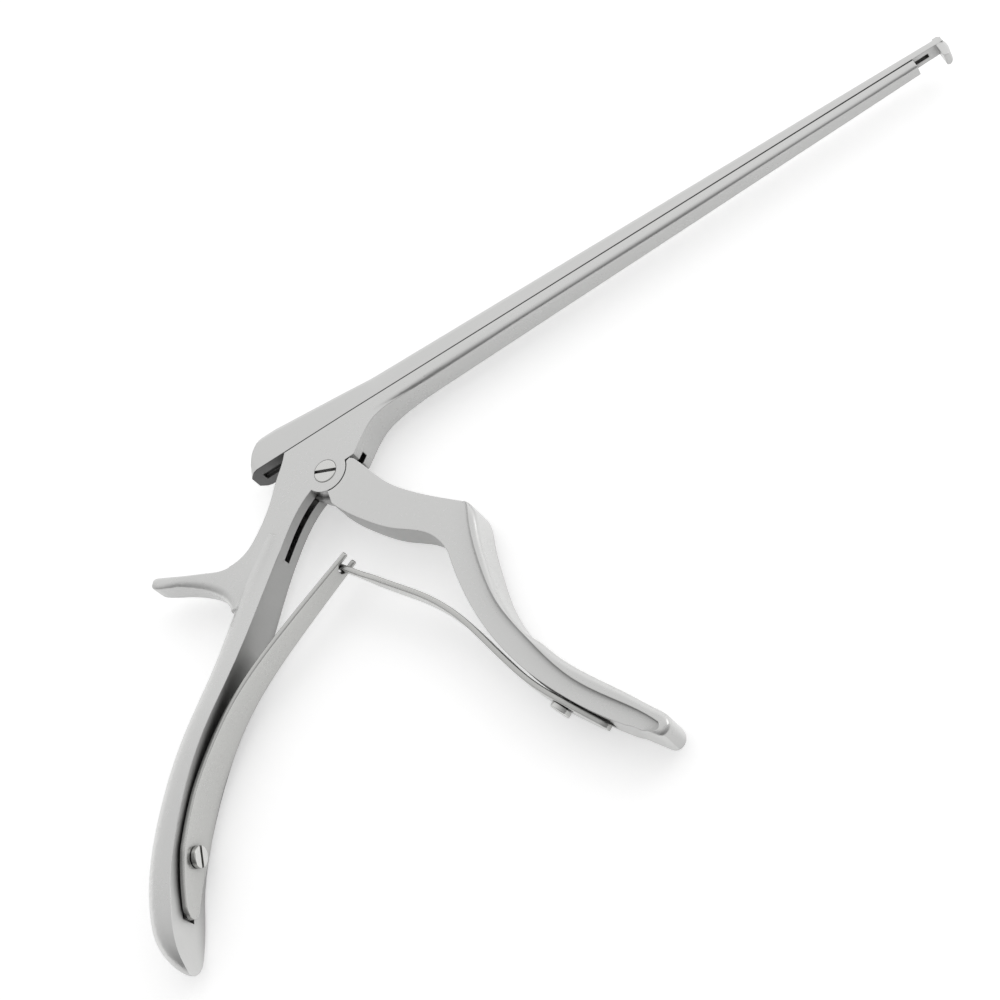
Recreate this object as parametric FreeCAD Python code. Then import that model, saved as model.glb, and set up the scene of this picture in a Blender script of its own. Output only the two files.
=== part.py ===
import FreeCAD, Part
import math
import os

# Down-biting laminectomy rongeur, sizes in millimetres.
# X runs along the shaft to the tip, Y away from the handles, Z to the right side.
# Everything is drawn about the middle plane of the cheeks with the pivot at X0 Y0,
# then lifted so that the left cheek lies on Z0.

# Widths
cheek = 8.4
tip_width = 3.8
slot = 2.2
blade_play = 0.1
tongue = slot - 2 * blade_play

# Shaft
split = 12.9
slide_gap = 0.1
taper_start = 12.0
bar_front = 180.0
bite = 6.6
hook_inside = bar_front + bite
hook_depth = 2.4
hook_drop = 4.5
shaft_end = hook_inside + hook_depth + 11
slide_rear = -20.5
slide_hump = 22.6
slide_waist_x = 21.0
slide_waist = 19.4
slide_tip_top = 15.1

# Guide rail and its groove
rail_neck = 1.2
rail_head = 2.2
rail_step = 0.8
rail_play = 0.08
rail_start = 3.0
rail_end = 176.5
groove_end = 184.0

# Pivot
boss = 6.05
shoulder_gap = 0.3
pivot_shank = 4.0
pivot_head = 6.5
pivot_head_depth = 1.6
pivot_play = 0.04
pivot_sink = 2.3
pivot_slot_turn = -26.0
tongue_disc = 7.0

# Pull lever
lever_x = -14.2
lever_y = -1.2
lever_pin = 2.0
lever_hub = 2.6
finger_x = -4.4
finger_y = 15.0
finger = 1.4
finger_neck = 0.8
finger_play = 0.16
finger_shift = 0.055
elbow = 6.5
swing = 0.38
lever_arm = 2.4
pad_reach = 8.0
pad = 1.2
pad_arm = 0.9
pad_play = 0.13
pad_rest = 189.4
slot_disc = 10.4

# Springs
leaf = 1.5
leaf_play = 0.08
rear_leaf = 11.0
rear_leaf_tip = 5.6
front_leaf = 7.0
front_leaf_tip = 2.6
fork_notch = 3.4
fork_depth = 7.0
knuckle_play = 0.12
spring_screw = 2.6
rear_head = 5.6
front_head = 5.4
head_height = 1.3
screw_play = 0.05
driver_slot = 0.9
channel = 5.0
channel_depth = 1.0

# Grips
web = 4.2
pad_half = 5.6
pad_round = 1.5
cove_top = 3.0
cove_end = 0.5
spur_round = 0.9
spur_root_round = 3.0
spur_end = 4.6
body_round = 0.3
head_round = 0.3

middle = cheek / 2


def v(x, y, z=0.0):
    return FreeCAD.Vector(x, y, z)


def line(a, b):
    return Part.makeLine(v(*a), v(*b))


def curve(points):
    spline = Part.BSplineCurve()
    spline.interpolate([v(*p) for p in points])
    return spline.toShape()


def arc(a, b, c):
    return Part.Arc(v(*a), v(*b), v(*c)).toShape()


def on_circle(radius, degrees, x=0.0, y=0.0):
    turn = math.radians(degrees)
    return (x + radius * math.cos(turn), y + radius * math.sin(turn))


def slab(edges, half, z=0.0):
    face = Part.Face(Part.Wire(edges))
    face.translate(v(0, 0, z - half))
    return face.extrude(v(0, 0, 2 * half))


def plate(points, half):
    edges = [line(a, b) for a, b in zip(points, points[1:] + points[:1])]
    return slab(edges, half)


def disc(x, y, radius, half, z=0.0):
    return Part.makeCylinder(radius, 2 * half, v(x, y, z - half))


def bar(a, b, wide, half):
    run = v(*b) - v(*a)
    turn = math.degrees(math.atan2(run.y, run.x))
    box = Part.makeBox(run.Length, 2 * wide, 2 * half, v(0, -wide, -half))
    box.rotate(v(0, 0), v(0, 0, 1), turn)
    box.translate(v(*a))
    return box


def widths(start, heading, stations):
    # A tall prism whose half width changes along one heading, to trim a slab to its plan.
    turn = math.radians(heading)
    along = v(math.cos(turn), math.sin(turn))
    across = v(-math.sin(turn), math.cos(turn))
    base = v(*start) - across * 150

    def side(sign):
        points = [base + along * s + v(0, 0, sign * half) for s, half in stations]
        return [Part.makeLine(a, b) for a, b in zip(points, points[1:])]

    first, last = stations[0], stations[-1]
    ends = []
    for s, half in (first, last):
        low = base + along * s + v(0, 0, -half)
        ends.append(Part.makeLine(low, base + along * s + v(0, 0, half)))
    edges = side(1) + side(-1) + ends
    face = Part.Face(Part.Wire(Part.__sortEdges__(edges)))
    return face.extrude(across * 300)


def shaft_widths():
    stations = [(-40, middle), (taper_start, middle), (bar_front, tip_width / 2), (shaft_end, tip_width / 2)]
    return widths((0, 0), 0, stations)


def half_at(x):
    run = (x - taper_start) / (bar_front - taper_start)
    run = max(0.0, min(1.0, run))
    return middle + run * (tip_width / 2 - middle)


def round_section(x, flat, edge, radius):
    # A rectangle across the shaft with its two corners at the outer edge rounded.
    half = half_at(x)
    out = 1 if edge > flat else -1
    shy = edge - out * radius
    small = radius * (1 - math.sqrt(0.5))
    a = v(x, flat, -half)
    b = v(x, flat, half)
    c = v(x, shy, half)
    d = v(x, edge, half - radius)
    e = v(x, edge, -half + radius)
    f = v(x, shy, -half)
    mid_one = v(x, edge - out * small, half - small)
    mid_two = v(x, edge - out * small, -half + small)
    edges = [Part.makeLine(a, b), Part.makeLine(b, c), Part.Arc(c, mid_one, d).toShape()]
    edges += [Part.makeLine(d, e), Part.Arc(e, mid_two, f).toShape(), Part.makeLine(f, a)]
    return Part.Wire(edges)


def handle_section(front, back, width):
    # Flat inner face, short straight sides and a rounded back.
    near = v(*front)
    depth = v(*back) - near
    side = near + depth * 0.3
    half = v(0, 0, width / 2)
    a, b = near + half, near - half
    c, d = side - half, side + half
    edges = [Part.makeLine(a, b), Part.makeLine(b, c)]
    edges += [Part.Arc(c, near + depth, d).toShape(), Part.makeLine(d, a)]
    return Part.Wire(edges)


# The bending roots are points of the leaves' own paths.
rear_root = (-45.0, -48.0)
front_root = (22.3, -71.2)
rear_leaf_path = [(-73.1, -93.0), (-70.3, -83.9), (-66.3, -75.1), (-60.0, -64.4), (-53.0, -55.8),
                  rear_root, (-35.6, -41.4), (-26.2, -36.2), (-15.8, -31.0), (-3.3, -25.0)]
front_leaf_path = [(40.2, -105.6), (32.6, -94.1), (28.4, -86.8), (25.1, -79.0), front_root,
                   (18.4, -60.8), (11.7, -49.0), (5.8, -41.6), (-4.0, -29.4), (-7.2, -25.4)]
rear_screw_at = (-68.8, -77.8)
rear_screw_out = -24.5
front_screw_at = (33.6, -93.6)
front_screw_out = 209.0


def lower_shaft():
    top = split - slide_gap / 2
    rear = round_section(20.0, top, 8.4, 1.5)
    front = round_section(bar_front, top, 10.3, 0.8)
    return Part.makeLoft([rear, front], True, True)


def body_plate():
    top = split - slide_gap / 2
    corner = on_circle(boss, -3)
    meet = (-5.3, -2.95)
    rear = curve([(-8.7, top), (-10.5, 9.9), (-13.6, 6.0), (-17.1, 0.9), (-21.2, -3.8), (-24.4, -6.7),
                  (-27.2, -8.7), (-30.1, -9.8), (-33.7, -10.05)])
    front = curve([(-22.6, -18.6), (-16.5, -11.8), (-10.2, -5.9), meet])
    under = curve([(8.9, -0.2), (12.4, 3.1), (17.0, 6.6), (24.0, 8.3), (34.0, 8.7)])
    edges = [line((34.0, top), (-8.7, top)), rear, line((-33.7, -10.05), (-34.5, -14.5))]
    edges += [line((-34.5, -14.5), (-22.6, -18.6)), front]
    edges += [arc(meet, on_circle(boss, 280), corner), line(corner, (8.9, -0.2)), under]
    edges += [line((34.0, 8.7), (34.0, top))]
    return slab(edges, middle).common(shaft_widths())


def rear_handle():
    sections = [handle_section((-16.5, -11.8), (-22.6, -5.6), cheek - 0.2),
                handle_section((-22.6, -18.6), (-29.8, -13.0), 8.9),
                handle_section((-30.8, -28.6), (-37.8, -22.7), 10.6),
                handle_section((-41.5, -41.1), (-48.1, -35.0), 13.2),
                handle_section((-52.3, -52.6), (-59.2, -46.4), 15.2),
                handle_section((-60.2, -62.8), (-67.6, -56.6), 15.6),
                handle_section((-66.7, -73.5), (-75.0, -68.2), 15.4),
                handle_section((-71.3, -83.5), (-80.2, -79.5), 15.2),
                handle_section((-74.2, -94.0), (-82.9, -92.0), 14.4),
                handle_section((-75.7, -101.0), (-82.1, -98.4), 11.5),
                handle_section((-76.2, -104.6), (-80.2, -102.6), 7.0),
                handle_section((-76.8, -106.1), (-78.3, -105.2), 2.5)]
    return Part.makeLoft(sections, True, False)


def middle_of(edge):
    return edge.valueAt((edge.FirstParameter + edge.LastParameter) / 2)


def rounded(solid, edge, z, first, last):
    # Rounds the edge of a slab that runs along a drawn edge at height z.
    spot = middle_of(edge) + v(0, 0, z)
    nearest = min(solid.Edges, key=lambda e: (middle_of(e) - spot).Length)
    return solid.makeFillet(first, last, [nearest])


def spur():
    # A flat finger rest, its end round in plan and its lower edges rounded off more than its upper ones.
    top = curve([(-33.7, -10.05), (-36.9, -9.35), (-40.7, -7.4), (-45.2, -5.0), (-49.5, -2.6), (-54.0, -0.1),
                 (-57.4, 1.9)])
    tip = arc((-57.4, 1.9), (-58.9, 1.7), (-58.5, 0.3))
    low = curve([(-58.5, 0.3), (-52.1, -4.4), (-46.6, -8.4), (-42.4, -12.2), (-39.8, -15.4), (-38.2, -18.6),
                 (-37.9, -21.4)])
    edges = [top, tip, low, line((-37.9, -21.4), (-31.0, -26.0)), line((-31.0, -26.0), (-24.0, -14.0))]
    edges += [line((-24.0, -14.0), (-33.7, -10.05))]
    solid = slab(edges, middle)
    for z in (middle, -middle):
        solid = rounded(solid, low, z, spur_round, spur_root_round)
        solid = rounded(solid, top, z, body_round, spur_round)
    end = v(-59.0, 1.2)
    heading = 149.0
    turn = math.radians(heading)
    centre = end - v(math.cos(turn), math.sin(turn)) * spur_end
    across = v(-math.sin(turn), math.cos(turn))
    plan = Part.makeCylinder(spur_end, 60, centre - across * 30, across)
    plan = plan.fuse(widths((centre.x, centre.y), heading, [(-40, 8.0), (0, 8.0)]))
    return solid.common(plan)


def guide_rail(play=0.0, start=rail_start, end=rail_end):
    low = split - slide_gap / 2 - 0.5
    neck = rail_neck / 2 + play
    head = rail_head / 2 + play
    step = split - slide_gap / 2 + rail_step - play
    top = step + rail_step + 2 * play
    foot = Part.makeBox(end - start, step - low + 0.1, 2 * neck, v(start, low, -neck))
    cap = Part.makeBox(end - start, top - step, 2 * head, v(start, step, -head))
    return foot.fuse(cap)


def fork_slot():
    half = slot / 2
    around = disc(0, 0, slot_disc, half)
    lower = on_circle(1.1, 225, -18.4, -15.6)
    handle = plate([(-22.5, -12.0), lower, (-14.0, -24.0), (14.0, -24.0), (16.0, 0.0),
                    (8.0, 2.0), (-10.0, 2.0), (-17.2, -1.5)], half)
    hub = disc(lever_x, lever_y, lever_hub + 0.6, half)
    rear = plate([(-14.0, -1.0), (-22.0, 8.0), (-22.0, split + 2), (-2.4, split + 2), (-2.4, 0.0)], half)
    return around.fuse([handle, hub, rear])


def channel_cut(face_points, depth, wide, outward):
    # A groove along a curved inner face, its floor parallel to the face.
    floor, roof = [], []
    for k, point in enumerate(face_points):
        before = face_points[max(k - 1, 0)]
        after = face_points[min(k + 1, len(face_points) - 1)]
        run = v(*after) - v(*before)
        run.normalize()
        out = v(run.y, -run.x) * outward
        here = v(*point)
        floor.append(here - out * depth)
        roof.append(here + out * 1.6)
    low = Part.BSplineCurve()
    low.interpolate(floor)
    high = Part.BSplineCurve()
    high.interpolate(roof)
    edges = [low.toShape(), Part.makeLine(floor[-1], roof[-1]), high.toShape(),
             Part.makeLine(roof[0], floor[0])]
    return slab(Part.__sortEdges__(edges), wide / 2)


def screw_axis(at, heading):
    turn = math.radians(heading)
    return v(*at), v(math.cos(turn), math.sin(turn))


def screw_hole(at, heading, radius, deep, high=6.0):
    foot, out = screw_axis(at, heading)
    return Part.makeCylinder(radius, deep + high, foot - out * deep, out)


def frame():
    solid = body_plate().fuse([lower_shaft(), rear_handle(), spur(), guide_rail()])
    solid = solid.cut(fork_slot())
    right = middle - pivot_head_depth
    solid = solid.cut(Part.makeCylinder(pivot_head / 2 + pivot_play, 5, v(0, 0, right)))
    low = -slot / 2 - pivot_sink
    solid = solid.cut(Part.makeCylinder(pivot_shank / 2 + pivot_play, middle - low, v(0, 0, low)))
    pin = lever_pin / 2 + pivot_play
    solid = solid.cut(Part.makeCylinder(pin, cheek - 1.2, v(lever_x, lever_y, -middle)))
    face = [(-44.5, -44.5), (-52.3, -52.6), (-60.2, -62.8), (-66.7, -73.5), (-71.3, -83.5),
            (-74.0, -93.0)]
    solid = solid.cut(channel_cut(face, channel_depth, channel, -1))
    hole = screw_hole(rear_screw_at, rear_screw_out, spring_screw / 2 + screw_play, 5.0)
    return solid.cut(hole).removeSplitter()


def slide_ramp(x):
    run = (x + 9.0) / (slide_waist_x + 9.0)
    top = slide_hump + run * (slide_waist - slide_hump)
    return round_section(x, split + slide_gap / 2, top, 2.0 - 0.2 * run)


def slide():
    flat = split + slide_gap / 2
    sections = [round_section(slide_rear - 1, flat, slide_hump, 2.0)]
    sections += [slide_ramp(-9.0), slide_ramp(taper_start), slide_ramp(slide_waist_x)]
    sections += [round_section(hook_inside + 1.9, flat, slide_tip_top, 0.8)]
    solid = Part.makeLoft(sections, True, True)
    tail = curve([(slide_rear, flat), (-18.9, 16.0), (-16.0, 20.2), (-12.8, 22.2), (-8.0, slide_hump + 0.2)])
    high = slide_hump + 8
    low = flat - 8
    edges = [tail, line((-8.0, slide_hump + 0.2), (-8.0, high)), line((-8.0, high), (shaft_end, high))]
    edges += [line((shaft_end, high), (shaft_end, low)), line((shaft_end, low), (slide_rear, low))]
    edges += [line((slide_rear, low), (slide_rear, flat))]
    solid = solid.common(slab(edges, 10))
    plan = [(slide_rear - 0.5, 1.4), (slide_rear + 0.5, 2.6), (slide_rear + 1.6, 3.7),
            (slide_rear + 3.4, 4.4)]
    plan += [(slide_rear + 8, 8.0), (shaft_end, 8.0)]
    solid = solid.common(widths((0, 0), 0, plan))
    solid = solid.fuse(hook())
    solid = solid.cut(guide_rail(rail_play, 1.5, groove_end))
    finger_top = finger_y + 2.66 + finger + 0.4
    reach = finger + finger_play
    pocket = Part.makeBox(2 * reach, finger_top - flat + 1, slot + 0.2,
                          v(finger_x + finger_shift - reach, flat - 1, -slot / 2 - 0.1))
    rear_groove = Part.makeBox(14.0, 1 + 1.2, slot + 0.2, v(-17.5, flat - 1, -slot / 2 - 0.1))
    return solid.cut(pocket).cut(rear_groove).removeSplitter()


def hook():
    inside = hook_inside
    front = inside + hook_depth
    low = split - hook_drop
    nose = curve([(inside + 0.5, low), (inside + 1.5, low + 0.35), (front - 0.15, low + 2.2),
                  (front, low + 3.6), (front - 0.7, slide_tip_top - 0.8), (inside + 1.5, slide_tip_top)])
    edges = [line((inside, slide_tip_top), (inside, low + 0.4))]
    edges += [line((inside, low + 0.4), (inside + 0.5, low))]
    edges += [nose, line((inside + 1.5, slide_tip_top), (inside, slide_tip_top))]
    block = slab(edges, tip_width / 2)
    stations = [(inside - 1, tip_width / 2), (inside + 1.0, tip_width / 2), (inside + 1.9, 1.6),
                (front + 0.1, 0.9)]
    return block.common(widths((0, 0), 0, stations))


def finger_side():
    return curve([(30.9, -32.2), (32.2, -34.2), (32.6, -37.0), (31.7, -42.2), (30.4, -52.0), (29.8, -60.8),
                  (30.6, -69.4), (32.6, -75.9), (34.1, -78.6), (36.2, -83.4), (42.1, -93.8), (48.3, -103.0),
                  (52.8, -110.0), (54.4, -113.1), (54.1, -115.3), (52.3, -116.7), (50.0, -115.9)])


def chain(points):
    return [line(a, b) for a, b in zip(points, points[1:])]


def web_plate():
    ring = boss + shoulder_gap
    top = on_circle(ring, -8)
    low = on_circle(ring, 258)
    upper = curve([(8.5, -1.6), (10.7, -6.3), (14.3, -14.0), (18.4, -19.6), (25.0, -26.6), (30.9, -32.2)])
    inside = [(30.9, -32.2), (30.9, -37.0), (30.0, -43.0), (28.9, -52.0), (28.4, -60.8), (29.1, -69.2),
              (31.0, -76.0), (34.6, -84.0), (40.6, -94.4), (47.0, -103.8), (51.0, -110.2), (52.0, -113.0),
              (51.2, -114.6), (49.4, -113.4), (44.6, -109.4)]
    inner = curve([(44.6, -109.4), (43.6, -108.2), (33.4, -93.4), (26.2, -78.0), (22.3, -61.0),
                   (21.9, -45.0)])
    crook = curve([(21.9, -45.0), (21.6, -40.0), (19.4, -35.0), (11.3, -27.6), (5.0, -20.4),
                   (0.9, -14.5), (-1.4, -10.2)])
    edges = [arc(low, on_circle(ring, 305), top), line(top, (7.5, -0.55))]
    edges += [line((7.5, -0.55), (8.5, -1.6)), upper]
    return slab(edges + chain(inside) + [inner, crook, line((-1.4, -10.2), low)], web)


def beside_web(side):
    # What is taken off each side between the inner face and the wider finger side, with a cove between them.
    crest = curve([(33.6, -30.0), (31.9, -35.0), (30.5, -40.0), (29.5, -45.5), (28.7, -54.0), (28.9, -63.8),
                   (30.8, -72.2), (34.1, -83.3), (38.0, -92.5), (44.3, -102.0), (50.2, -110.4),
                   (51.8, -113.4)])
    edges = [crest, curve([(51.8, -113.4), (51.2, -114.8), (49.4, -114.3)])]
    edges += [line((49.4, -114.3), (45.0, -110.6)), line((45.0, -110.6), (38.0, -112.0))]
    edges += [line((38.0, -112.0), (-30.0, -112.0))]
    edges += [line((-30.0, -112.0), (-30.0, 20.0)), line((-30.0, 20.0), (33.6, 20.0))]
    edges += [line((33.6, 20.0), (33.6, -30.0))]
    deep = 4.0
    block = slab(edges, deep / 2, side * (web + deep / 2))
    return rounded(block, crest, side * web, cove_top, cove_end)


def finger_rim():
    outer = finger_side()
    inside = [(50.0, -115.9), (43.9, -108.0), (34.5, -92.0), (28.0, -77.0), (25.0, -60.0), (25.0, -33.0),
              (30.9, -32.2)]
    solid = slab([outer] + chain(inside), pad_half)
    for z in (pad_half, -pad_half):
        solid = rounded(solid, outer, z, pad_round, pad_round)
    return solid.cut(beside_web(1)).cut(beside_web(-1))


def trigger():
    solid = web_plate().fuse([finger_rim(), disc(0, 0, tongue_disc, tongue / 2)])
    solid = solid.cut(disc(0, 0, pivot_shank / 2 + pivot_play, 10))
    turn = math.radians(pad_rest)
    inside = v(4.85 * math.cos(turn), 4.85 * math.sin(turn))
    outside = v(12 * math.cos(turn), 12 * math.sin(turn))
    notch = bar((inside.x, inside.y), (outside.x, outside.y), pad + pad_play, 5)
    solid = solid.cut(notch)
    # Room for the cheeks of the frame on both sides of the tongue.
    room = disc(0, 0, boss + shoulder_gap, 20)
    room = room.cut(disc(0, 0, boss + shoulder_gap + 1, tongue / 2))
    solid = solid.cut(room)
    face = [(41.4, -105.0), (33.4, -93.4), (29.4, -85.8), (26.2, -78.0)]
    solid = solid.cut(channel_cut(face, channel_depth, channel, -1))
    hole = screw_hole(front_screw_at, front_screw_out, spring_screw / 2 + screw_play, 3.4)
    return solid.cut(hole).removeSplitter()


def rim_of(disc_shape, out):
    circles = [e for e in disc_shape.Edges if e.Curve.TypeId == "Part::GeomCircle"]
    return max(circles, key=lambda e: e.Curve.Center.dot(out))


def pivot_screw():
    right = middle - pivot_head_depth
    low = -slot / 2 - pivot_sink + 0.1
    solid = Part.makeCylinder(pivot_shank / 2, right - low + 0.1, v(0, 0, low))
    head = Part.makeCylinder(pivot_head / 2, pivot_head_depth + 0.1, v(0, 0, right + 0.05))
    head = head.makeFillet(head_round, [rim_of(head, v(0, 0, 1))])
    solid = solid.fuse(head)
    groove = Part.makeBox(10, driver_slot, 2, v(-5, -driver_slot / 2, middle - 0.75))
    groove.rotate(v(0, 0), v(0, 0, 1), pivot_slot_turn)
    return solid.cut(groove).removeSplitter()


def pull_lever():
    half = tongue / 2
    lean = swing / 2
    knee = (finger_x - elbow * math.sin(lean), finger_y - elbow * math.cos(lean))
    axis = (lever_x, lever_y)
    centre_line = math.degrees(math.atan2(-lever_y, -lever_x))
    pad_at = on_circle(pad_reach, centre_line - 4.0, lever_x, lever_y)
    solid = disc(lever_x, lever_y, lever_hub, half)
    parts = [bar(axis, knee, lever_arm / 2, half), disc(knee[0], knee[1], lever_arm / 2, half),
             bar(knee, (finger_x, finger_y), finger_neck, half), disc(finger_x, finger_y, finger, half),
             bar(axis, pad_at, pad_arm, half), disc(pad_at[0], pad_at[1], pad, half)]
    solid = solid.fuse(parts)
    return solid.cut(disc(lever_x, lever_y, lever_pin / 2 + pivot_play, 5)).removeSplitter()


def pull_lever_pin():
    return Part.makeCylinder(lever_pin / 2, cheek - 1.3, v(lever_x, lever_y, -middle))


def strip(path):
    # A leaf of constant thickness along a path, still much too wide.
    low, high = [], []
    for k, point in enumerate(path):
        out = leaf_normal(path, k) * (leaf / 2)
        low.append(v(*point) - out)
        high.append(v(*point) + out)
    below = Part.BSplineCurve()
    below.interpolate(low)
    above = Part.BSplineCurve()
    above.interpolate(high)
    first = Part.makeLine(low[0], high[0])
    run = v(*path[-1]) - v(*path[-2])
    run.normalize()
    last = Part.Arc(low[-1], v(*path[-1]) + run * (leaf / 2), high[-1]).toShape()
    return slab(Part.__sortEdges__([below.toShape(), above.toShape(), first, last]), 12)


def leaf_normal(path, k):
    run = v(*path[min(k + 1, len(path) - 1)]) - v(*path[max(k - 1, 0)])
    run.normalize()
    return v(-run.y, run.x)


def leaf_plan(path, stations):
    run = v(*path[-1]) - v(*path[0])
    heading = math.degrees(math.atan2(run.y, run.x))
    far = run.Length
    return widths(path[0], heading, [(s * far, wide / 2) for s, wide in stations])


def behind(path, root):
    joint = v(*root)
    normal = leaf_normal(path, path.index(root))
    back = v(-normal.y, normal.x) * 100
    return bar((joint.x, joint.y), (joint.x + back.x, joint.y + back.y), 100, 14)


def leaf_foot(path, root, stations):
    solid = strip(path).common(behind(path, root))
    solid = solid.cut(disc(root[0], root[1], leaf / 2 + knuckle_play, 14))
    return solid.common(leaf_plan(path, stations))


def leaf_blade(path, root, stations):
    # The bending root is a small round knuckle about which the blade swings.
    solid = strip(path).cut(behind(path, root))
    solid = solid.fuse(disc(root[0], root[1], leaf / 2, 12))
    return solid.common(leaf_plan(path, stations)).removeSplitter()


def tip_run(path):
    run = v(*path[-2]) - v(*path[-1])
    run.normalize()
    return v(*path[-1]), run


rear_plan = [(-0.05, 5.0), (0.0, 5.0), (0.16, rear_leaf), (0.3, rear_leaf), (1.0, rear_leaf_tip),
             (1.1, rear_leaf_tip)]
front_plan = [(-0.05, 4.0), (0.0, 4.0), (0.14, front_leaf), (0.3, front_leaf), (1.0, 4.2), (1.1, 4.2)]


def rear_spring_foot():
    solid = leaf_foot(rear_leaf_path, rear_root, rear_plan)
    return solid.cut(screw_hole(rear_screw_at, rear_screw_out, spring_screw / 2 + 0.1, 5.0))


def rear_spring_blade():
    solid = leaf_blade(rear_leaf_path, rear_root, rear_plan)
    tip, run = tip_run(rear_leaf_path)
    ahead = tip - run * 3
    back = tip + run * fork_depth
    return solid.cut(bar((ahead.x, ahead.y), (back.x, back.y), 3, fork_notch / 2))


def front_spring_foot():
    solid = leaf_foot(front_leaf_path, front_root, front_plan)
    return solid.cut(screw_hole(front_screw_at, front_screw_out, spring_screw / 2 + 0.1, 5.0))


def front_spring_blade():
    solid = leaf_blade(front_leaf_path, front_root, front_plan)
    tip, run = tip_run(front_leaf_path)
    ahead = tip - run * 3
    neck = tip + run * 10.5
    sides = bar((ahead.x, ahead.y), (neck.x, neck.y), 4, 10)
    sides = sides.cut(bar((ahead.x, ahead.y), (neck.x, neck.y), 5, front_leaf_tip / 2))
    return solid.cut(sides)


def slotted_screw(at, heading, head, seat, deep):
    foot, out = screw_axis(at, heading)
    shank = Part.makeCylinder(spring_screw / 2, deep + seat + 0.2, foot - out * deep, out)
    cap = Part.makeCylinder(head / 2, head_height, foot + out * (seat + leaf_play), out)
    cap = cap.makeFillet(head_round, [rim_of(cap, out)])
    solid = shank.fuse(cap)
    groove = Part.makeBox(driver_slot, head + 2, 1.2, v(-driver_slot / 2, -head / 2 - 1, 0))
    groove.Placement = FreeCAD.Placement(foot + out * (seat + leaf_play + head_height - 0.6),
                                         FreeCAD.Rotation(v(0, 0, 1), out))
    return solid.cut(groove).removeSplitter()


def rear_spring_screw():
    return slotted_screw(rear_screw_at, rear_screw_out, rear_head, leaf + 0.4, 4.8)


def front_spring_screw():
    return slotted_screw(front_screw_at, front_screw_out, front_head, leaf + 0.45, 3.2)


def save(name, shape):
    shape = shape.copy()
    shape.translate(v(0, 0, middle))
    if not shape.isValid() or len(shape.Solids) != 1:
        print("check", name, shape.isValid(), len(shape.Solids))
    shape.exportStep("parts/" + name + ".step")
    box = shape.BoundBox
    print(name, "%.1f mm3" % shape.Volume, "x %.1f %.1f" % (box.XMin, box.XMax),
          "y %.1f %.1f" % (box.YMin, box.YMax), "z %.1f %.1f" % (box.ZMin, box.ZMax))


os.makedirs("parts", exist_ok=True)
save("frame", frame())
save("slide", slide())
save("trigger", trigger())
save("pivot_screw", pivot_screw())
save("pull_lever", pull_lever())
save("pull_lever_pin", pull_lever_pin())
save("rear_spring_foot", rear_spring_foot())
save("rear_spring_blade", rear_spring_blade())
save("front_spring_foot", front_spring_foot())
save("front_spring_blade", front_spring_blade())
save("rear_spring_screw", rear_spring_screw())
save("front_spring_screw", front_spring_screw())
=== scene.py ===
import math
import bmesh
import bpy
import numpy as np
from mathutils import Matrix, Vector


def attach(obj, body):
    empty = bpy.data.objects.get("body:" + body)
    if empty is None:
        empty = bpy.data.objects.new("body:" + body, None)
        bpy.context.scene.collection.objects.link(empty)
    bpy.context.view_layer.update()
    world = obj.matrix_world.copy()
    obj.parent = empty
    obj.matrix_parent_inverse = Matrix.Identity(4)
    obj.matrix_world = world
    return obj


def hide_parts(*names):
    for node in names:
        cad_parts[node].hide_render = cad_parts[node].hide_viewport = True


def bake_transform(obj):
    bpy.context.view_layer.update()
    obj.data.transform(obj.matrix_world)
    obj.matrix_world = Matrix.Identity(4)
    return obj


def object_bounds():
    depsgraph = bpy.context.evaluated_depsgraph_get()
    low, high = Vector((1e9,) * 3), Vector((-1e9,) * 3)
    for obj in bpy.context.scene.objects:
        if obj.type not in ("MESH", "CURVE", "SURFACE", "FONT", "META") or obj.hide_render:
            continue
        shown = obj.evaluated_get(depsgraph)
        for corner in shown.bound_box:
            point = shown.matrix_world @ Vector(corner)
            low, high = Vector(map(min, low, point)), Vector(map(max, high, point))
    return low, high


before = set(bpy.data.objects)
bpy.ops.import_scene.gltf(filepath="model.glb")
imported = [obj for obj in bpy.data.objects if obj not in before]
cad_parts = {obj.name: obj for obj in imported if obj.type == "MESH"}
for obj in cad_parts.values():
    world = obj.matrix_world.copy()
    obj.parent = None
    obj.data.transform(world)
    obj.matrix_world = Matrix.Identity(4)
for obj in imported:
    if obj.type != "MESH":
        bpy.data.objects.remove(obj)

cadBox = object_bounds()
mm = 0.001
midPlane = 4.2        # middle of the cheeks, mm above the left cheek
print("frame loaded")


# colours and nodes

def toLinear(hexColour):
    # sRGB hex to linear: the low end is a straight line, the rest a power of 2.4
    parts = [int(hexColour[i:i + 2], 16) / 255 for i in (1, 3, 5)]
    return [p / 12.92 if p <= 0.04045 else ((p + 0.055) / 1.055) ** 2.4 for p in parts] + [1.0]


def addNode(tree, kind, values=None, links=None, **settings):
    node = tree.nodes.new(kind)
    for name, value in settings.items():
        setattr(node, name, value)
    for name, value in (values or {}).items():
        node.inputs[name].default_value = value
    for name, source in (links or {}).items():
        tree.links.new(source, node.inputs[name])
    return node


def newMaterial(name):
    material = bpy.data.materials.new(name)
    material.use_nodes = True
    material.node_tree.nodes.clear()
    return material, material.node_tree


# satin stainless steel, ground and then glass beaded: a wide soft highlight with faint lines along the grind
satinShaft = {"name": "satinSteelShaft", "colour": "#D2D2D1", "roughness": 0.33, "lineMm": 0.35,
              "stretch": (0.05, 1, 1), "shadeMm": 1.5, "undersideShade": 0.8, "bevelMm": 0.3, "bump": 0.06}
satinGrip = {"name": "satinSteelGrip", "colour": "#D3D3D2", "roughness": 0.30, "lineMm": 0.5,
             "stretch": (0.6, 0.6, 0.6), "shadeMm": 1.5, "undersideShade": 0.8, "bevelMm": 0.3, "bump": 0.06}
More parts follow.
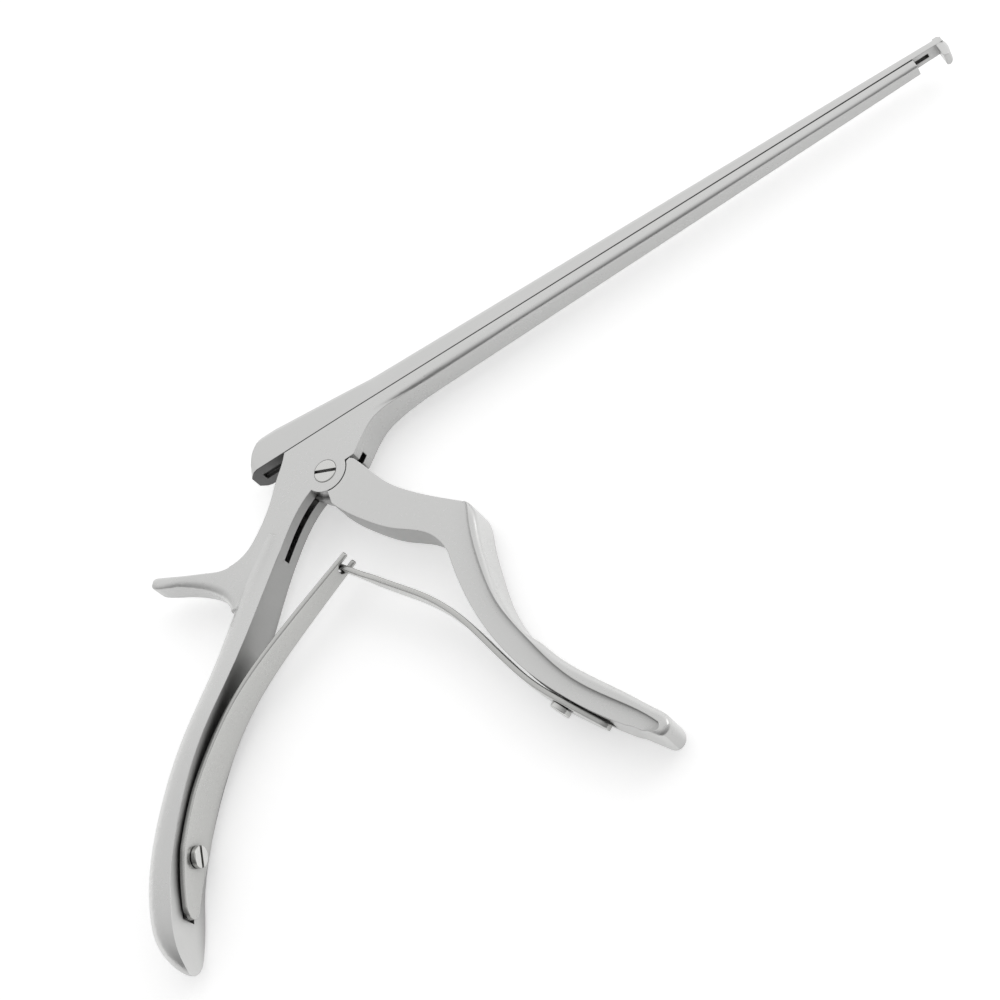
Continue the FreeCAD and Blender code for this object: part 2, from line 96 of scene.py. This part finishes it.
# faces under the slide and between the grips: ground only, so duller, and their darker colour is painted
# shade
shadedSlideUnder = {"name": "shadedSlideSteel", "colour": "#6C6C6C", "roughness": 0.42, "lineMm": 0.4,
               "stretch": (0.2, 1, 1), "shadeMm": 1.5, "undersideShade": 1.0, "bevelMm": 0.2, "bump": 0.06}
# down the grips the painted shade on the ground faces fades into the satin colour between these heights in mm
shadedGroundFace = {"name": "shadedGroundSteel", "colour": "#B0B0AF", "roughness": 0.42, "lineMm": 0.4,
              "stretch": (1, 1, 0.2), "shadeMm": 0.8, "undersideShade": 1.0, "bevelMm": 0.2, "bump": 0.06,
              "endColour": "#D3D3D2", "endFrom": -78.0, "endTo": -52.0}
# spring steel strip, hardened and polished: brighter and tighter than the forging
polishedSpring = {"name": "polishedSpringSteel", "colour": "#C4C4C2", "roughness": 0.25, "lineMm": 0.4,
                  "stretch": (0.5, 0.5, 1), "shadeMm": 1.2, "undersideShade": 1.0, "bevelMm": 0.12, "bump": 0.02}
# turned and lapped screw heads
turnedScrew = {"name": "turnedScrewSteel", "colour": "#D8D8D6", "roughness": 0.24, "lineMm": 0.3,
               "stretch": (1, 1, 1), "shadeMm": 1.7, "undersideShade": 1.0, "bevelMm": 0.12, "bump": 0.02}
# what all the steels share: how far the roughness swings over the range of lines and clouds together, and
# the size and share of the clouds that the polish leaves
polish = {"swing": 0.07, "pattern": (0.3, 1.05), "cloudMm": 14.0, "cloudShare": 0.35, "bumpMm": 0.05}
# painted shade in slots and gaps: the open share of the sky at which a face is painted fully dark, and at
# which it is unshaded
creviceShade = {"colour": "#1A1A1B", "dark": 0.14, "unshaded": 0.5}
# painted shade: wide hollows and undersides are painted darker, hollows by the open share of the sky,
# undersides by the y of their normal
hollowShade = {"reachMm": 5.0, "deep": 0.62, "open": 0.97, "share": 0.7}
undersideShade = {"down": -0.85, "level": -0.2}
# painted shade along the joint line of slide and shaft, in mm: its height, the distances from it at which the
# steel is painted fully dark and is unshaded again, and the x where it ends. A face is no side face if its
# normal's y is above "sideways".
jointLine = {"y": 12.9, "dark": 0.1, "wide": 0.22, "to": 180.0, "sideways": 0.6}
raySamples = 8


def grindLines(tree, place, look):
    # the grind's lines are really about 0.03 mm apart, and are drawn as wide as a pixel to show at all
    stretched = addNode(tree, "ShaderNodeMapping", {"Scale": look["stretch"]},
                        {"Vector": place.outputs["Object"]})
    return addNode(tree, "ShaderNodeTexNoise",
                   {"Scale": 1 / (look["lineMm"] * mm), "Detail": 3.0, "Roughness": 0.6},
                   {"Vector": stretched.outputs["Vector"]})


def polishRoughness(tree, place, lines, look):
    # roughness rises with the lines and with broad clouds round the look's own value
    cloud = addNode(tree, "ShaderNodeTexNoise", {"Scale": 1 / (polish["cloudMm"] * mm), "Detail": 2.0},
                    {"Vector": place.outputs["Object"]})
    mixed = addNode(tree, "ShaderNodeMath", {1: polish["cloudShare"]},
                    {0: cloud.outputs["Fac"], 2: lines.outputs["Fac"]}, operation="MULTIPLY_ADD")
    low, high = polish["pattern"]
    return addNode(tree, "ShaderNodeMapRange",
                   {"From Min": low, "From Max": high, "To Min": look["roughness"] - polish["swing"],
                    "To Max": look["roughness"] + polish["swing"]},
                   {"Value": mixed.outputs["Value"]})


def offJointLine(tree, axes, turned):
    # painted shade of the gap: 0 on the line between slide and shaft, 1 elsewhere. It is drawn a little wider
    # than the real gap, on the side faces only and up to the end of the shaft, or it would not show.
    off = addNode(tree, "ShaderNodeMath", {1: jointLine["y"] * mm}, {0: axes.outputs["Y"]},
                  operation="SUBTRACT")
    away = addNode(tree, "ShaderNodeMath", links={0: off.outputs["Value"]}, operation="ABSOLUTE")
    beside = addNode(tree, "ShaderNodeMapRange",
                     {"From Min": jointLine["dark"] * mm, "From Max": jointLine["wide"] * mm},
                     {"Value": away.outputs["Value"]}, interpolation_type="SMOOTHSTEP")
    tilt = addNode(tree, "ShaderNodeMath", links={0: turned.outputs["Y"]}, operation="ABSOLUTE")
    level = addNode(tree, "ShaderNodeMath", {1: jointLine["sideways"]}, {0: tilt.outputs["Value"]},
                    operation="GREATER_THAN")
    beyond = addNode(tree, "ShaderNodeMath", {1: jointLine["to"] * mm}, {0: axes.outputs["X"]},
                     operation="GREATER_THAN")
    elsewhere = addNode(tree, "ShaderNodeMath", links={0: level.outputs["Value"], 1: beyond.outputs["Value"]},
                        operation="MAXIMUM")
    return addNode(tree, "ShaderNodeMath", links={0: beside.outputs["Result"], 1: elsewhere.outputs["Value"]},
                   operation="MAXIMUM")


def unshadedShare(tree, axes, turned, look):
    # 0 where slots, grooves and the joint line are painted dark as shade, 1 on unshaded steel
    sky = addNode(tree, "ShaderNodeAmbientOcclusion", {"Distance": look["shadeMm"] * mm}, samples=raySamples)
    unshaded = addNode(tree, "ShaderNodeMapRange", {"From Min": creviceShade["dark"], "From Max": creviceShade["unshaded"]},
                    {"Value": sky.outputs["AO"]}, interpolation_type="SMOOTHSTEP")
    offLine = offJointLine(tree, axes, turned)
    return addNode(tree, "ShaderNodeMath", links={0: unshaded.outputs["Result"], 1: offLine.outputs["Value"]},
                   operation="MULTIPLY")


def paintedShadeShare(tree, turned, look):
    # how much of its colour a face keeps under painted shade, by its turn downwards and by how hollow its
    # surroundings are
    shadedUnder = addNode(tree, "ShaderNodeMapRange",
                    {"From Min": undersideShade["down"], "From Max": undersideShade["level"],
                     "To Min": look["undersideShade"]},
                    {"Value": turned.outputs["Y"]}, interpolation_type="SMOOTHSTEP")
    wide = addNode(tree, "ShaderNodeAmbientOcclusion", {"Distance": hollowShade["reachMm"] * mm},
                   samples=raySamples)
    shadedHollow = addNode(tree, "ShaderNodeMapRange",
                   {"From Min": hollowShade["deep"], "From Max": hollowShade["open"], "To Min": hollowShade["share"]},
                   {"Value": wide.outputs["AO"]})
    return addNode(tree, "ShaderNodeMath", links={0: shadedHollow.outputs["Result"], 1: shadedUnder.outputs["Result"]},
                   operation="MULTIPLY")


def steel(look):
    material, tree = newMaterial(look["name"])
    place = addNode(tree, "ShaderNodeTexCoord")
    axes = addNode(tree, "ShaderNodeSeparateXYZ", links={"Vector": place.outputs["Object"]})
    turned = addNode(tree, "ShaderNodeSeparateXYZ", links={"Vector": place.outputs["Normal"]})
    lines = grindLines(tree, place, look)
    roughness = polishRoughness(tree, place, lines, look)
    unshaded = unshadedShare(tree, axes, turned, look)
    share = paintedShadeShare(tree, turned, look)
    # painted shade: the colour goes towards black on undersides and in hollows
    face = addNode(tree, "ShaderNodeMix", {"A": (0, 0, 0, 1), "B": toLinear(look["colour"])},
                   {"Factor": share.outputs["Value"]}, data_type="RGBA")
    # painted shade between the grips, darker towards the pivot and fading towards the grip ends
    if "endColour" in look:
        down = addNode(tree, "ShaderNodeMapRange",
                       {"From Min": look["endFrom"] * mm, "From Max": look["endTo"] * mm},
                       {"Value": axes.outputs["Y"]}, interpolation_type="SMOOTHSTEP")
        gripShadeColour = addNode(tree, "ShaderNodeMix",
                         {"A": toLinear(look["endColour"]), "B": toLinear(look["colour"])},
                         {"Factor": down.outputs["Result"]}, data_type="RGBA")
        tree.links.new(gripShadeColour.outputs[2], face.inputs["B"])
    # painted shade: slots, grooves and the joint line go dark
    colour = addNode(tree, "ShaderNodeMix", {"A": toLinear(creviceShade["colour"])},
                     {"Factor": unshaded.outputs["Value"], "B": face.outputs[2]}, data_type="RGBA")
    edge = addNode(tree, "ShaderNodeBevel", {"Radius": look["bevelMm"] * mm}, samples=raySamples)
    bump = addNode(tree, "ShaderNodeBump", {"Strength": look["bump"], "Distance": polish["bumpMm"] * mm},
                   {"Height": lines.outputs["Fac"], "Normal": edge.outputs["Normal"]})
    shader = addNode(tree, "ShaderNodeBsdfPrincipled", {"Metallic": 1.0},
                     {"Base Color": colour.outputs[2], "Roughness": roughness.outputs["Result"],
                      "Normal": bump.outputs["Normal"]})
    addNode(tree, "ShaderNodeOutputMaterial", links={"Surface": shader.outputs["BSDF"]})
    return material


shaftSteel = steel(satinShaft)
gripSteel = steel(satinGrip)
shadedGroundSteel = steel(shadedGroundFace)
shadedSlideSteel = steel(shadedSlideUnder)
springSteel = steel(polishedSpring)
screwSteel = steel(turnedScrew)
print("materials made")


# camera: its place in mm, and its right, up and back as unit vectors of the part
viewpoint = {"at": (126.969, -325.102, 394.04), "right": (0.8373085, -0.3297438, -0.4361002),
             "up": (0.5164958, 0.7386510, 0.4331591), "back": (0.1792943, -0.5879318, 0.7887901),
             "lens": 72.0, "sensor": 36.0, "clipStart": 0.01, "clipEnd": 50.0}


def placeCamera(look):
    data = bpy.data.cameras.new("camera")
    data.lens = look["lens"]
    data.sensor_width = look["sensor"]
    data.clip_start = look["clipStart"]
    data.clip_end = look["clipEnd"]
    camera = bpy.data.objects.new("camera", data)
    turned = Matrix((look["right"], look["up"], look["back"])).transposed().to_4x4()
    camera.matrix_world = Matrix.Translation(Vector(look["at"]) * mm) @ turned
    bpy.context.collection.objects.link(camera)
    bpy.context.scene.camera = camera


placeCamera(viewpoint)


# the forged parts are copies of the solids' meshes, merged and smoothed
forgings = {"frame": {"name": "frameForging", "body": "frame_body", "steel": gripSteel},
            "slide": {"name": "slideBar", "body": "slide_body", "steel": shaftSteel},
            "trigger": {"name": "triggerForging", "body": "trigger_body", "steel": gripSteel}}
# their ground faces, which get a darker colour as painted shade: those whose normal lies near the direction,
# and that lie behind the given x in mm
shadedGroundAreas = {"frame": {"direction": (0.83, -0.56, 0.0), "cosine": 0.8, "behind": 6.0,
                         "steel": shadedGroundSteel},
               "slide": {"direction": (-0.45, -0.89, 0.0), "cosine": 0.75, "behind": -6.0,
                         "steel": shadedSlideSteel},
               "trigger": {"direction": (-0.6, -0.8, 0.0), "cosine": 0.8, "behind": 60.0,
                           "steel": shadedGroundSteel}}
mergeWithin = 0.0005       # mm
cutWithin = 0.0001         # mm
forgingSharp = 26.0        # degrees between two faces from which their edge stays sharp
# the body's plate runs out into the round shaft, whose rounding goes from the high to the low y, in mm. Its
# flat sides are the faces outside the given distance from the middle whose normal's z is above "flat".
plateEnd = {"from": 16.0, "to": 34.0, "low": 8.7, "high": 10.01, "outside": 3.75, "inward": 0.83,
            "rear": -20.0, "slack": 0.02, "columns": 9, "levels": 5, "flat": 0.9}
# the root of the spur's underside runs into the grip
spurRoot = {"at": (-38.4, -23.8), "reach": 1.7, "rounds": 12, "factor": 0.5}
# the spur's end is a rounder finger than the solid's: shorter, narrower and thicker, its corners a
# superellipse. Sizes are in mm, the cuts are distances back from its end.
spurTip = {"end": (-59.0, 1.2), "heading": math.radians(149.0), "solidRound": 4.6, "reach": 13.0,
           "shorter": 2.0, "corner": 2.2, "halfWide": 4.3, "power": 2.6, "narrower": 0.24, "thicker": 0.5,
           "middle": 0.35, "edge": 1.6, "wall": 0.35, "closeCuts": np.linspace(0.2, 5, 17),
           "wideCuts": np.linspace(6, 13, 8)}


def cutAcross(work, wanted, at, normal):
    # new edges where a plane crosses the wanted faces, so that they can bend there
    faces = [face for face in work.faces if wanted(face)]
    parts = {part: True for face in faces for part in (*face.verts, *face.edges)}
    bmesh.ops.bisect_plane(work, geom=faces + list(parts), plane_co=at * mm, plane_no=normal,
                           dist=cutWithin * mm)


def onPlate(face):
    centre = face.calc_center_median() / mm
    return (abs(face.normal.z) > plateEnd["flat"] and abs(centre.z - midPlane) > plateEnd["outside"]
            and plateEnd["rear"] < centre.x < plateEnd["to"])


def cutFrame(work):
    for x in np.linspace(plateEnd["from"], plateEnd["to"], plateEnd["columns"], endpoint=False):
        cutAcross(work, onPlate, Vector((x, 0, 0)), (1, 0, 0))
    for y in np.linspace(plateEnd["low"], plateEnd["high"], plateEnd["levels"]):
        cutAcross(work, onPlate, Vector((0, y, 0)), (0, 1, 0))
    ahead = Vector((math.cos(spurTip["heading"]), math.sin(spurTip["heading"]), 0))
    end = Vector((*spurTip["end"], 0))

    def onSpur(face):
        return (face.calc_center_median() / mm - end).dot(ahead) > -2 * spurTip["reach"]

    for back in (*spurTip["closeCuts"], *spurTip["wideCuts"]):
        cutAcross(work, onSpur, end - ahead * back, ahead)
    root = Vector(spurRoot["at"]) * mm
    near = [vert for vert in work.verts if (vert.co.xy - root).length < spurRoot["reach"] * mm]
    for turn in range(spurRoot["rounds"]):
        bmesh.ops.smooth_vert(work, verts=near, factor=spurRoot["factor"], use_axis_x=True, use_axis_y=True,
                              use_axis_z=True)


def runOutPlate(points):
    # the pull inward is smoothstep(x) times the quarter circle 1 - sqrt(1 - s * s) of the shaft's rounding
    x, y = points[:, 0], points[:, 1]
    side = points[:, 2] - midPlane
    t = np.clip((x - plateEnd["from"]) / (plateEnd["to"] - plateEnd["from"]), 0, 1)
    s = np.clip((plateEnd["high"] - y) / (plateEnd["high"] - plateEnd["low"]), 0, 1)
    pull = plateEnd["inward"] * t * t * (3 - 2 * t) * (1 - np.sqrt(1 - s * s))
    flank = (x < plateEnd["to"] + plateEnd["slack"]) & (np.abs(side) > plateEnd["outside"])
    points[:, 2] -= np.where(flank, np.sign(side) * pull, 0)


def roundSpur(points):
    # Each point keeps its share of the way from the spur's root to its end, and moves with the end's outline.
    # The solid's end is a circle in plan, the new one a superellipse.
    side = points[:, 2] - midPlane
    ahead = np.array((math.cos(spurTip["heading"]), math.sin(spurTip["heading"])))
    across = np.array((ahead[1], -ahead[0]))
    along = (points[:, :2] - spurTip["end"]) @ ahead
    height = (points[:, :2] - spurTip["end"]) @ across - spurTip["middle"]
    off = np.minimum(np.abs(side), spurTip["halfWide"])
    solidEnd = np.sqrt(spurTip["solidRound"] ** 2 - off ** 2) - spurTip["solidRound"]
    corner = 1 - (1 - (off / spurTip["halfWide"]) ** spurTip["power"]) ** (1 / spurTip["power"])
    newEnd = -spurTip["shorter"] - spurTip["corner"] * corner
    share = np.clip((along + spurTip["reach"]) / (solidEnd + spurTip["reach"]), 0, 1)
    eased = share * share * (3 - 2 * share)
    outward = share * share * (newEnd - solidEnd)
    # towards its outline the finger gets thinner, as the quarter circle sqrt(1 - (1 - d / r) ^ 2), down to a
    # narrow wall
    inside = np.clip((newEnd - along - outward) / spurTip["edge"], 0, 1)
    thin = spurTip["wall"] + (1 - spurTip["wall"]) * np.sqrt(1 - (1 - inside) ** 2)
    thick = np.where(share > 0, (1 + spurTip["thicker"] * eased) * thin, 1)
    points[:, :2] += np.outer(outward, ahead) + np.outer(height * (thick - 1), across)
    points[:, 2] -= side * spurTip["narrower"] * eased


def bendFrame(mesh):
    points = np.zeros(len(mesh.vertices) * 3)
    mesh.vertices.foreach_get("co", points)
    points = points.reshape(-1, 3) / mm
    runOutPlate(points)
    roundSpur(points)
    mesh.vertices.foreach_set("co", (points * mm).ravel())
    mesh.update()


def markShadedGround(mesh, area):
    # material 1, the ground steel with painted shade, goes to the faces whose normal is within the cosine of
    # the area's direction
    mesh.materials.append(area["steel"])
    facing = np.zeros(len(mesh.polygons) * 3)
    centre = np.zeros(len(mesh.polygons) * 3)
    mesh.polygons.foreach_get("normal", facing)
    mesh.polygons.foreach_get("center", centre)
    toward = facing.reshape(-1, 3) @ np.array(area["direction"])
    ground = (toward > area["cosine"]) & (centre.reshape(-1, 3)[:, 0] < area["behind"] * mm)
    mesh.polygons.foreach_set("material_index", ground.astype(np.int32))


def makeForging(node, look):
    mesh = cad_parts[node].data.copy()
    mesh.name = look["name"]
    if "custom_normal" in mesh.attributes:
        mesh.attributes.remove(mesh.attributes["custom_normal"])
    work = bmesh.new()
    work.from_mesh(mesh)
    bmesh.ops.remove_doubles(work, verts=work.verts, dist=mergeWithin * mm)
    if node == "frame":
        cutFrame(work)
    work.to_mesh(mesh)
    work.free()
    if node == "frame":
        bendFrame(mesh)
    mesh.materials.clear()
    mesh.materials.append(look["steel"])
    markShadedGround(mesh, shadedGroundAreas[node])
    mesh.shade_smooth()
    mesh.set_sharp_from_angle(angle=math.radians(forgingSharp))
    piece = bpy.data.objects.new(look["name"], mesh)
    bpy.context.collection.objects.link(piece)
    weighted = piece.modifiers.new("flatFacesStayFlat", "WEIGHTED_NORMAL")
    weighted.keep_sharp = True
    weighted.weight = 100
    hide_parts(node)
    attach(piece, look["body"])


for node, look in forgings.items():
    makeForging(node, look)
print("forgings done")


# leaf springs: path of the middle of the strip in mm, from the tail past the screw to the tip, and full
# widths at shares of its length
rearLeaf = {"name": "rearLeafSpring",
            "path": [(-73.1, -93.0), (-70.3, -83.9), (-66.3, -75.1), (-60.0, -64.4), (-53.0, -55.8),
                     (-45.0, -48.0), (-35.6, -41.4), (-26.2, -36.2), (-15.8, -31.0), (-3.3, -25.0)],
            "widths": [(0.0, 5.0), (0.16, 11.0), (0.3, 11.0), (1.0, 5.6)],
            "notch": 3.4, "notchDeep": 4.8, "tipRound": 0.55, "tipRows": 0.6,
            "bodies": ("frame_body", "rear_blade_body"),
            "nodes": ("rear_spring_foot", "rear_spring_blade"),
            "bendFrom": (-52.0, -56.0), "bendTo": (-35.6, -41.4)}
frontLeaf = {"name": "frontLeafSpring",
             "path": [(40.2, -105.6), (32.6, -94.1), (28.4, -86.8), (25.1, -79.0), (22.3, -71.2),
                      (18.4, -60.8), (11.7, -49.0), (5.8, -41.6), (-4.0, -29.4), (-7.2, -25.4)],
             "widths": [(0.0, 4.0), (0.14, 7.0), (0.3, 7.0), (0.86, 4.6), (0.91, 2.6), (1.0, 2.6)],
             "notch": 0.0, "notchDeep": 0.0, "tipRound": 1.3, "tipRows": 1.3,
             "bodies": ("trigger_body", "front_blade_body"),
             "nodes": ("front_spring_foot", "front_spring_blade"),
             "bendFrom": (25.1, -79.0), "bendTo": (18.4, -60.8)}
# both strips: thickness and rounding of their long edges in mm, and how finely they are divided
strip = {"thick": 1.5, "corner": 0.4, "pathPoints": 1500, "shortStretch": 6.0, "closeRows": 13,
         "longRows": 90, "flatPoints": 5, "cornerPoints": 4, "mergeWithin": 0.002, "shortEdge": 0.001,
         "sharp": 40.0}


def smoothPath(points, count):
    # natural cubic spline through the points, its parameter the running chord
    points = np.array(points, float)
    chord = np.r_[0, np.cumsum(np.linalg.norm(np.diff(points, axis=0), axis=1))]
    gap = np.diff(chord)
    size = len(points)
    system = np.eye(size)
    right = np.zeros_like(points)
    inner = np.arange(1, size - 1)
    system[inner, inner - 1] = gap[:-1]
    system[inner, inner] = 2 * (gap[:-1] + gap[1:])
    system[inner, inner + 1] = gap[1:]
    slope = np.diff(points, axis=0) / gap[:, None]
    right[inner] = 6 * np.diff(slope, axis=0)
    bend = np.linalg.solve(system, right)
    at = np.linspace(0, chord[-1], count)
    cell = np.clip(np.searchsorted(chord, at, side="right") - 1, 0, size - 2)
    high = ((at - chord[cell]) / gap[cell])[:, None]
    low = 1 - high
    width = (gap[cell] ** 2)[:, None] / 6
    straight = low * points[cell] + high * points[cell + 1]
    return straight + width * ((low ** 3 - low) * bend[cell] + (high ** 3 - high) * bend[cell + 1])


def leafRows(look, total):
    # places of the cross-sections along the leaf in mm, closer together towards each turn of its outline
    breaks = [0, look["widths"][0][1] / 2]
    if look["notch"]:
        root = total - look["notchDeep"]
        breaks += [root, root + look["notch"] / 2]
    breaks += [total - look["tipRows"], total]
    ease = 0.5 - 0.5 * np.cos(np.linspace(0, np.pi, strip["closeRows"]))
    rows = []
    for low, high in zip(breaks, breaks[1:]):
        steps = ease if high - low < strip["shortStretch"] else np.linspace(0, 1, strip["longRows"])
        rows.append(low + (high - low) * steps)
    return np.unique(np.round(np.concatenate(rows), 6))


def leafOutline(look, s, total):
    # Half width follows the plan, times the quarter circle sqrt(1 - (1 - s / r) ^ 2) at the tail and in the
    # notch, and sqrt(1 - t * t) at the tip, where both edges close on the middle between them.
    share, wide = np.array(look["widths"]).T
    tail = np.clip(s / (wide[0] / 2), 0, 1)
    outer = np.interp(s, share * total, wide / 2) * np.sqrt(1 - (1 - tail) ** 2)
    half = look["notch"] / 2
    inner = np.zeros_like(s)
    if half:
        into = np.clip((s - total + look["notchDeep"]) / half, 0, 1)
        inner = half * np.sqrt(1 - (1 - into) ** 2)
    ahead = np.clip((s - total + look["tipRound"]) / look["tipRound"], 0, 1)
    shrink = np.sqrt(1 - ahead ** 2)
    middle = (outer + inner) / 2 if half else np.zeros_like(s)
    return middle + (outer - middle) * shrink, middle + (inner - middle) * shrink


def leafSection(outer, inner, forked):
    # one half of the cross-section as columns of width and height: flat top, rounded edge, its mirror image
    # below, and in a forked leaf the rounded inner edge
    thick = strip["thick"] / 2
    corner = np.minimum(strip["corner"], (outer - inner) / 2)
    innerCorner = np.minimum(corner, inner)
    flat = np.linspace(0, 1, strip["flatPoints"])[:-1]
    turn = np.linspace(0, np.pi / 2, strip["cornerPoints"])
    level = np.full_like(outer, thick)
    upper = [(inner + innerCorner + (outer - corner - inner - innerCorner) * f, level) for f in flat]
    upper += [(outer - corner + corner * np.sin(a), thick - corner + corner * np.cos(a)) for a in turn]
    outside = upper + [(width, -height) for width, height in reversed(upper)]
    inside = []
    if forked:
        rim = [(inner + innerCorner - innerCorner * np.sin(a), thick - innerCorner + innerCorner * np.cos(a))
               for a in turn]
        inside = [(width, -height) for width, height in rim] + list(reversed(rim))
    widths, heights = np.array(outside + inside).transpose(1, 2, 0)
    return widths, heights, len(outside)


def gridFaces(rows, near, far, columns):
    # quads between each row and the next, from the near to the far column
    row, place = np.meshgrid(rows, np.arange(len(near)), indexing="ij")
    low, high = row * columns, (row + 1) * columns
    quads = np.stack([low + near[place], low + far[place], high + far[place], high + near[place]], axis=-1)
    return quads.reshape(-1, 4)


def leafMesh(look):
    # the cross-sections are set square to the path, as two mirrored halves
    fine = smoothPath(look["path"], strip["pathPoints"])
    run = np.r_[0, np.cumsum(np.linalg.norm(np.diff(fine, axis=0), axis=1))]
    total = run[-1]
    s = leafRows(look, total)
    outer, inner = leafOutline(look, s, total)
    widths, heights, outside = leafSection(outer, inner, bool(look["notch"]))
    rows, columns = widths.shape
    centre = np.column_stack([np.interp(s, run, fine[:, axis]) for axis in (0, 1)])
    heading = np.column_stack([np.gradient(centre[:, axis], s) for axis in (0, 1)])
    heading /= np.linalg.norm(heading, axis=1)[:, None]
    flatX = centre[:, 0:1] - heights * heading[:, 1:2]
    flatY = centre[:, 1:2] + heights * heading[:, 0:1]
    around = np.arange(outside)
    quads = gridFaces(np.arange(rows - 1), around[:-1], around[1:], columns)
    if look["notch"]:
        fork = np.searchsorted(s, total - look["notchDeep"] - 1e-6)
        ring = np.r_[np.arange(outside - 1, columns), 0]
        walls = gridFaces(np.arange(fork, rows - 1), ring[:-1], ring[1:], columns)
        quads = np.concatenate([quads, walls])
    halves = [np.stack([flatX, flatY, midPlane + sign * widths], axis=-1).reshape(-1, 3)
              for sign in (1, -1)]
    return np.concatenate(halves) * mm, np.concatenate([quads[:, ::-1], quads + rows * columns])


def makeLeaf(look):
    points, quads = leafMesh(look)
    mesh = bpy.data.meshes.new(look["name"])
    mesh.from_pydata(points.tolist(), [], quads.tolist())
    work = bmesh.new()
    work.from_mesh(mesh)
    bmesh.ops.remove_doubles(work, verts=work.verts, dist=strip["mergeWithin"] * mm)
    bmesh.ops.dissolve_degenerate(work, edges=work.edges, dist=strip["shortEdge"] * mm)
    loose = [vert for vert in work.verts if not vert.link_faces]
    bmesh.ops.delete(work, geom=loose, context="VERTS")
    gaps = [edge for edge in work.edges if len(edge.link_faces) == 1]
    bmesh.ops.holes_fill(work, edges=gaps, sides=0)
    bmesh.ops.recalc_face_normals(work, faces=work.faces)
    work.to_mesh(mesh)
    work.free()
    mesh.materials.append(springSteel)
    mesh.shade_smooth()
    mesh.set_sharp_from_angle(angle=math.radians(strip["sharp"]))
    piece = bpy.data.objects.new(look["name"], mesh)
    bpy.context.collection.objects.link(piece)
    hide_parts(*look["nodes"])
    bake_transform(piece)
    print(look["name"], "faces", len(mesh.polygons))


makeLeaf(rearLeaf)
makeLeaf(frontLeaf)
print("leaf springs done")


# screws and the hidden lever are the solids themselves
paint = {"pivot_screw": screwSteel, "rear_spring_screw": screwSteel, "front_spring_screw": screwSteel,
         "pull_lever": gripSteel, "pull_lever_pin": screwSteel}
for node, material in paint.items():
    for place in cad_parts[node].material_slots:
        place.link = "OBJECT"
        place.material = material
print("screws and lever painted")


# studio: the instrument lies on a pale table under soft light, sizes in metres and the gap below it in mm
table = {"colour": "#F7F7F7", "size": 6.0, "below": 0.05, "glow": 0.40}
softLight = {"at": (0.9, 0.1, 0.6), "size": 0.5, "watts": 0.9}
# brightness of the tent: its level, and how much it gains along x, y and z
tent = {"level": 0.69, "slope": (0.13, 0.42, 0.0)}


def makeTable():
    material, tree = newMaterial("paleTable")
    # the paper glows a little to the camera and in reflections, so it is white with the shadow still on it
    ray = addNode(tree, "ShaderNodeLightPath")
    mirrored = addNode(tree, "ShaderNodeMath", operation="ADD",
                       links={0: ray.outputs["Is Camera Ray"], 1: ray.outputs["Is Glossy Ray"]})
    shown = addNode(tree, "ShaderNodeMath", operation="ADD", use_clamp=True,
                    links={0: mirrored.outputs["Value"], 1: ray.outputs["Is Transmission Ray"]})
    glow = addNode(tree, "ShaderNodeMath", {1: table["glow"]}, {0: shown.outputs["Value"]},
                   operation="MULTIPLY")
    paper = addNode(tree, "ShaderNodeBsdfDiffuse", {"Color": toLinear(table["colour"])})
    light = addNode(tree, "ShaderNodeEmission", {"Color": (1, 1, 1, 1)}, {"Strength": glow.outputs["Value"]})
    shader = addNode(tree, "ShaderNodeAddShader",
                     links={0: paper.outputs["BSDF"], 1: light.outputs["Emission"]})
    addNode(tree, "ShaderNodeOutputMaterial", links={"Surface": shader.outputs["Shader"]})
    half = table["size"] / 2
    corners = [(-half, -half, 0), (half, -half, 0), (half, half, 0), (-half, half, 0)]
    mesh = bpy.data.meshes.new("table")
    mesh.from_pydata(corners, [], [(0, 1, 2, 3)])
    mesh.materials.append(material)
    floor = bpy.data.objects.new("table", mesh)
    floor.location.z = cadBox[0][2] - table["below"] * mm
    bpy.context.collection.objects.link(floor)


def makeLamp():
    data = bpy.data.lights.new("right", "AREA")
    data.shape = "SQUARE"
    data.size = softLight["size"]
    data.energy = softLight["watts"]
    lamp = bpy.data.objects.new("right", data)
    lamp.location = softLight["at"]
    lamp.rotation_euler = Vector(softLight["at"]).to_track_quat("Z", "Y").to_euler()
    bpy.context.collection.objects.link(lamp)


def makeTent():
    # strength is the level plus the dot product of the slope and the direction
    world = bpy.data.worlds.new("studio")
    world.use_nodes = True
    tree = world.node_tree
    tree.nodes.clear()
    place = addNode(tree, "ShaderNodeTexCoord")
    across = addNode(tree, "ShaderNodeVectorMath", {1: tent["slope"]}, {0: place.outputs["Generated"]},
                     operation="DOT_PRODUCT")
    glow = addNode(tree, "ShaderNodeMath", {1: tent["level"]}, {0: across.outputs["Value"]}, operation="ADD")
    shade = addNode(tree, "ShaderNodeBackground", {"Color": (1, 1, 1, 1)},
                    {"Strength": glow.outputs["Value"]})
    addNode(tree, "ShaderNodeOutputWorld", links={"Surface": shade.outputs["Background"]})
    bpy.context.scene.world = world


makeTable()
makeLamp()
makeTent()
bpy.context.scene.view_settings.view_transform = "Standard"
print("stage done")
